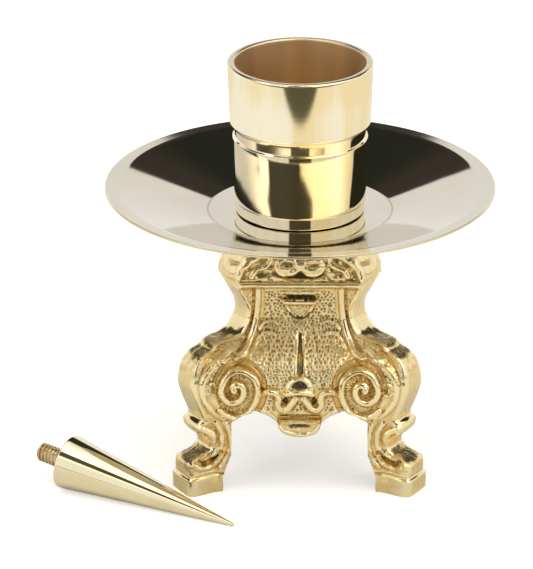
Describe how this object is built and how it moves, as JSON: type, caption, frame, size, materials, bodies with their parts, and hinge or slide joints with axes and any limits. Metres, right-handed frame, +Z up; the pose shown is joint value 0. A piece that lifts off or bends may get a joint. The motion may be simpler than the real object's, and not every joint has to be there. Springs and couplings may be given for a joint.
{
  "type": "altar candlestick",
  "caption": "Brass altar candlestick: hollow tripod base, dished drip pan, screw-in candle cup, and a loose pricket spike that screws in instead.",
  "frame": {"origin": "on the floor under the middle of the whole set's box; the candlestick's own axis stands 11.4 mm towards +X of it", "axes": "+Z up along the candlestick's axis; -Y is the side seen square on, with one leg to each side of it and the third behind; +X to the right"},
  "size_m": [0.1498, 0.127, 0.1418],
  "materials": {
    "cast_brass": "chased and polished cast brass, olive and orange patina in the hollows",
    "polished_brass": "turned and polished brass",
    "pale_metal": "polished pale nickel-toned sheet",
    "dark_brass": "unpolished turned brass, browned",
    "leather": "thin dark leather washer"
  },
  "bodies": {
    "base": {"side_casting_front": "cast_brass", "side_casting_right": "cast_brass", "side_casting_left": "cast_brass", "top_plate": "cast_brass", "threaded_bush": "dark_brass", "bush_washer": "dark_brass", "bush_nut": "dark_brass"},
    "pan": {"drip_pan": "pale_metal"},
    "cup_riser": {"cup_washer": "leather"},
    "cup": {"candle_cup": "polished_brass", "cup_stud": "dark_brass"},
    "spike": {"pricket": "polished_brass", "pricket_stud": "dark_brass"}
  },
  "joints": [
    {"name": "pan_turn", "type": "hinge", "parent": "base", "child": "pan", "pos_m": [0.01142, 0, 0.0902], "axis": [0, 0, 1], "continuous": true},
    {"name": "cup_rise", "type": "slide", "parent": "base", "child": "cup_riser", "axis": [0, 0, 1], "range_m": [0, 0.0103]},
    {"name": "cup_screw", "type": "hinge", "parent": "cup_riser", "child": "cup", "pos_m": [0.01142, 0, 0.091], "axis": [0, 0, 1], "range_deg": [0, 2880]},
    {"name": "pricket_lift", "type": "slide", "parent": "base", "child": "spike", "axis": [0, 0, 1], "range_m": [0, 0.06]}
  ],
  "couplings": [
    {"joint": "cup_rise", "follows": "cup_screw", "m_per_rad": 0.00020213}
  ]
}
